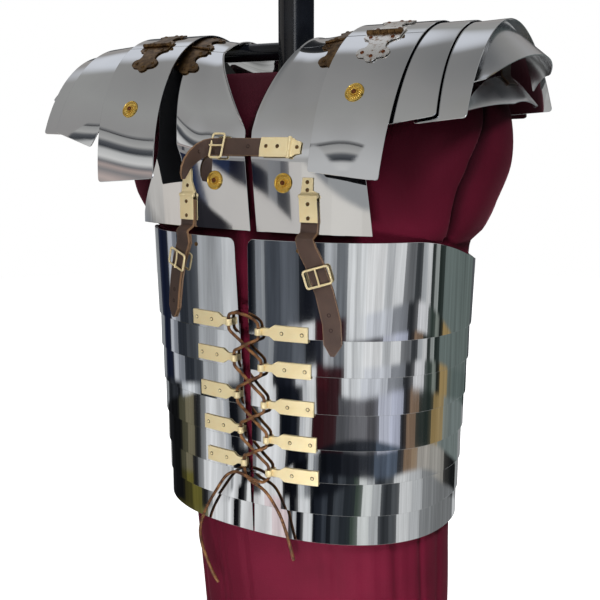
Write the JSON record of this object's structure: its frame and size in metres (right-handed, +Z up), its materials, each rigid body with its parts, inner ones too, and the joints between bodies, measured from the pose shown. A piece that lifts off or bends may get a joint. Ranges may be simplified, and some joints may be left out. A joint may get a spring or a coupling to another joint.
{
  "type": "segmented plate cuirass on torso display stand",
  "caption": "Laminated plate body armour with hinged shoulder guards and a laced girdle, worn by a cloth-covered torso form under a pole with a crossbar.",
  "frame": {"origin": "middle of the torso form's flat underside", "axes": "+Z up, -Y the way the armour faces, +X the wearer's left"},
  "size_m": [0.6033, 0.2894, 0.752],
  "materials": {
    "polished_steel": "mirror-polished steel sheet, satin towards the shoulders",
    "pale_brass": "pale brushed brass sheet and wire",
    "aged_brass": "darkened cast brass hinges",
    "strap_leather": "dark brown strap leather, smooth face, paler cut edges",
    "lace_leather": "round brown leather cord, matt",
    "burgundy_jersey": "matt burgundy jersey stretched over the form",
    "black_paint": "glossy black paint"
  },
  "bodies": {
    "root": {"backplate_left": "polished_steel", "backplate_right": "polished_steel", "breastplate_left": "polished_steel", "breastplate_right": "polished_steel", "chest_buckle": "pale_brass", "chest_fitting": "pale_brass", "chest_strap": "strap_leather", "girdle_buckle_left": "pale_brass", "girdle_buckle_right": "pale_brass", "girdle_fitting_left": "pale_brass", "girdle_fitting_right": "pale_brass", "girdle_hoop_1_left": "polished_steel", "girdle_hoop_1_right": "polished_steel", "girdle_hoop_2_left": "polished_steel", "girdle_hoop_2_right": "polished_steel", "girdle_hoop_3_left": "polished_steel", "girdle_hoop_3_right": "polished_steel", "girdle_hoop_4_left": "polished_steel", "girdle_hoop_4_right": "polished_steel", "girdle_hoop_5_left": "polished_steel", "girdle_hoop_5_right": "polished_steel", "girdle_hoop_6_left": "polished_steel", "girdle_hoop_6_right": "polished_steel", "girdle_hoop_7_left": "polished_steel", "girdle_hoop_7_right": "polished_steel", "girdle_strap_left": "strap_leather", "girdle_strap_rear_left": "strap_leather", "girdle_strap_rear_right": "strap_leather", "girdle_strap_right": "strap_leather", "guard_front_left": "polished_steel", "guard_front_right": "polished_steel", "guard_hanger_left": "strap_leather", "guard_hanger_right": "strap_leather", "guard_rear_left": "polished_steel", "guard_rear_right": "polished_steel", "hinge_collar_left": "aged_brass", "hinge_collar_right": "aged_brass", "hinge_guard_left": "aged_brass", "hinge_guard_right": "aged_brass", "lace": "lace_leather", "lesser_guard_1_left": "polished_steel", "lesser_guard_1_right": "polished_steel", "lesser_guard_2_left": "polished_steel", "lesser_guard_2_right": "polished_steel", "lesser_guard_3_left": "polished_steel", "lesser_guard_3_right": "polished_steel", "lesser_guard_4_left": "polished_steel", "lesser_guard_4_right": "polished_steel", "stand_pole": "black_paint", "tie_1_left": "pale_brass", "tie_1_right": "pale_brass", "tie_2_left": "pale_brass", "tie_2_right": "pale_brass", "tie_3_left": "pale_brass", "tie_3_right": "pale_brass", "tie_4_left": "pale_brass", "tie_4_right": "pale_brass", "tie_5_left": "pale_brass", "tie_5_right": "pale_brass", "torso_form": "burgundy_jersey"}
  },
  "joints": []
}
